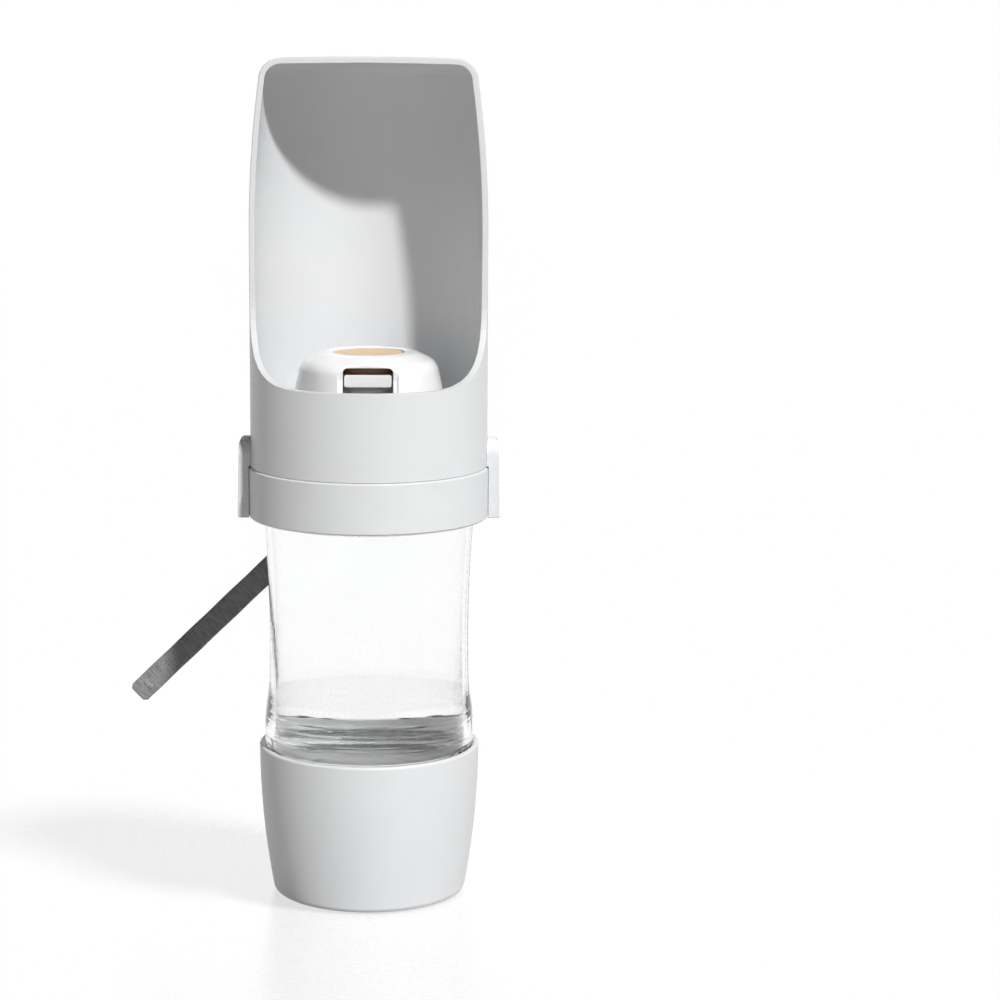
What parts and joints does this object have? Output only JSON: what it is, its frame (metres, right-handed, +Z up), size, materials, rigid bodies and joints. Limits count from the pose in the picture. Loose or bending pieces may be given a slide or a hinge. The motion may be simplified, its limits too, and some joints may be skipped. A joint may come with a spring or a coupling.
{
  "type": "dog travel water bottle",
  "caption": "Dog travel water bottle: clear bottle screwed into a food cup, collar lid with a push-button stopper, lift-off drinking trough and a wrist strap.",
  "frame": {"origin": "middle of the food cup's flat base, on the floor", "axes": "+Z up along the bottle's axis; the trough opens to -Y; +X is to the right seen from the open side"},
  "size_m": [0.1303, 0.0883, 0.2873],
  "materials": {
    "pale_plastic": "satin moulded",
    "trough_plastic": "satin moulded",
    "clear_plastic": "clear and polished",
    "white_plastic": "gloss moulded",
    "tan_plastic": "satin moulded",
    "silicone": "soft matte",
    "steel": "fine turned",
    "webbing": "woven, ribbed across"
  },
  "bodies": {
    "cup": {"food_cup": "pale_plastic"},
    "cup_seal_ring": {"cup_seal": "silicone"},
    "bottle": {"bottle_body": "clear_plastic"},
    "lid_gasket_ring": {"lid_gasket": "silicone"},
    "lid": {"collar_lid": "pale_plastic", "strap_rivet": "pale_plastic", "strap_washer": "pale_plastic", "rivet_cap": "pale_plastic"},
    "trough": {"trough": "trough_plastic", "clip_left": "trough_plastic", "clip_right": "trough_plastic"},
    "stopper_gasket_ring": {"stopper_gasket": "silicone"},
    "stopper": {"stopper_core": "white_plastic", "stopper_shell": "white_plastic", "return_spring": "steel"},
    "button": {"push_button": "tan_plastic", "valve_carrier": "white_plastic", "valve_stem": "steel", "valve_disc": "silicone", "valve_nut": "steel"},
    "strap": {"wrist_strap": "webbing"}
  },
  "joints": [
    {"name": "bottle_rise", "type": "slide", "parent": "cup", "child": "cup_seal_ring", "axis": [0, 0, 1], "range_m": [0, 0.006]},
    {"name": "bottle_turn", "type": "hinge", "parent": "cup_seal_ring", "child": "bottle", "pos_m": [0, 0, 0.041], "axis": [0, 0, 1], "range_deg": [0, 540]},
    {"name": "lid_rise", "type": "slide", "parent": "bottle", "child": "lid_gasket_ring", "axis": [0, 0, 1], "range_m": [0, 0.006]},
    {"name": "lid_turn", "type": "hinge", "parent": "lid_gasket_ring", "child": "lid", "pos_m": [0, 0, 0.1463], "axis": [0, 0, 1], "range_deg": [0, 540]},
    {"name": "stopper_rise", "type": "slide", "parent": "lid", "child": "stopper_gasket_ring", "axis": [0, 0, 1], "range_m": [0, 0.008]},
    {"name": "stopper_turn", "type": "hinge", "parent": "stopper_gasket_ring", "child": "stopper", "pos_m": [0, 0, 0.1559], "axis": [0, 0, 1], "range_deg": [0, 720]},
    {"name": "button_press", "type": "slide", "parent": "stopper", "child": "button", "axis": [0, 0, -1], "range_m": [0, 0.003], "stiffness_N_per_m": 800, "springref_m": -0.004, "deforming": ["return_spring"]},
    {"name": "trough_lift", "type": "slide", "parent": "lid", "child": "trough", "axis": [0, 0, 1], "range_m": [0, 0.06]},
    {"name": "strap_swing", "type": "hinge", "parent": "lid", "child": "strap", "pos_m": [0, 0.0439, 0.1396], "axis": [0, 1, 0], "range_deg": [-134, 46]}
  ],
  "couplings": [
    {"joint": "bottle_rise", "follows": "bottle_turn", "m_per_rad": 0.00063662},
    {"joint": "lid_rise", "follows": "lid_turn", "m_per_rad": 0.00063662},
    {"joint": "stopper_rise", "follows": "stopper_turn", "m_per_rad": 0.00063662}
  ]
}
